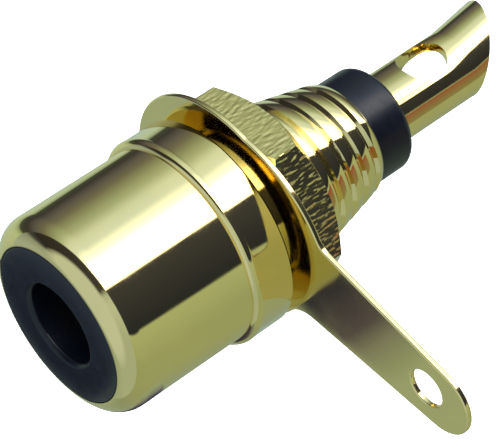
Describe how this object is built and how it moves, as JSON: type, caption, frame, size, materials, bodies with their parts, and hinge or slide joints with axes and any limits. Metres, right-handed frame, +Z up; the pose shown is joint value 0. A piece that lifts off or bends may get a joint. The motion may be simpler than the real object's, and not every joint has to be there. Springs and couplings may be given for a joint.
{
  "type": "rca chassis socket",
  "caption": "Panel-mounted coaxial phono socket: plated barrel with black insulator, flange, threaded shank, hexagon nut, flat earth tag and hollow solder scoop.",
  "frame": {"origin": "on the socket's axis, in the plane of the flange's rear face, which seats on the panel", "axes": "-Y out of the barrel's mouth, towards the plug; +Y towards the solder scoop; +Z up; the earth tag's tail points to +X"},
  "size_m": [0.018, 0.0227, 0.0096],
  "materials": {
    "gold_plating": "turned brass, bright gold plating, polished",
    "contact_plating": "turned brass, bright gold plating",
    "tag_plating": "stamped sheet, satin gold plating",
    "nut_plating": "gold plating over ribbed flats",
    "black_moulding": "black moulding, satin"
  },
  "bodies": {
    "socket": {"shell": "gold_plating", "front_insulator": "black_moulding", "rear_insulator": "black_moulding", "centre_contact": "contact_plating"},
    "tag": {"solder_tag": "tag_plating"},
    "nut": {"hex_nut": "nut_plating"}
  },
  "joints": [
    {"name": "tag_travel", "type": "slide", "parent": "socket", "child": "tag", "axis": [0, 1, 0], "range_m": [-0.00045, 0.0038]},
    {"name": "nut_turn", "type": "hinge", "parent": "tag", "child": "nut", "pos_m": [0, 0.0017, 0], "axis": [0, 1, 0], "range_deg": [-207, 1728]}
  ],
  "couplings": [
    {"joint": "nut_turn", "follows": "tag_travel", "rad_per_m": 7913.3}
  ]
}
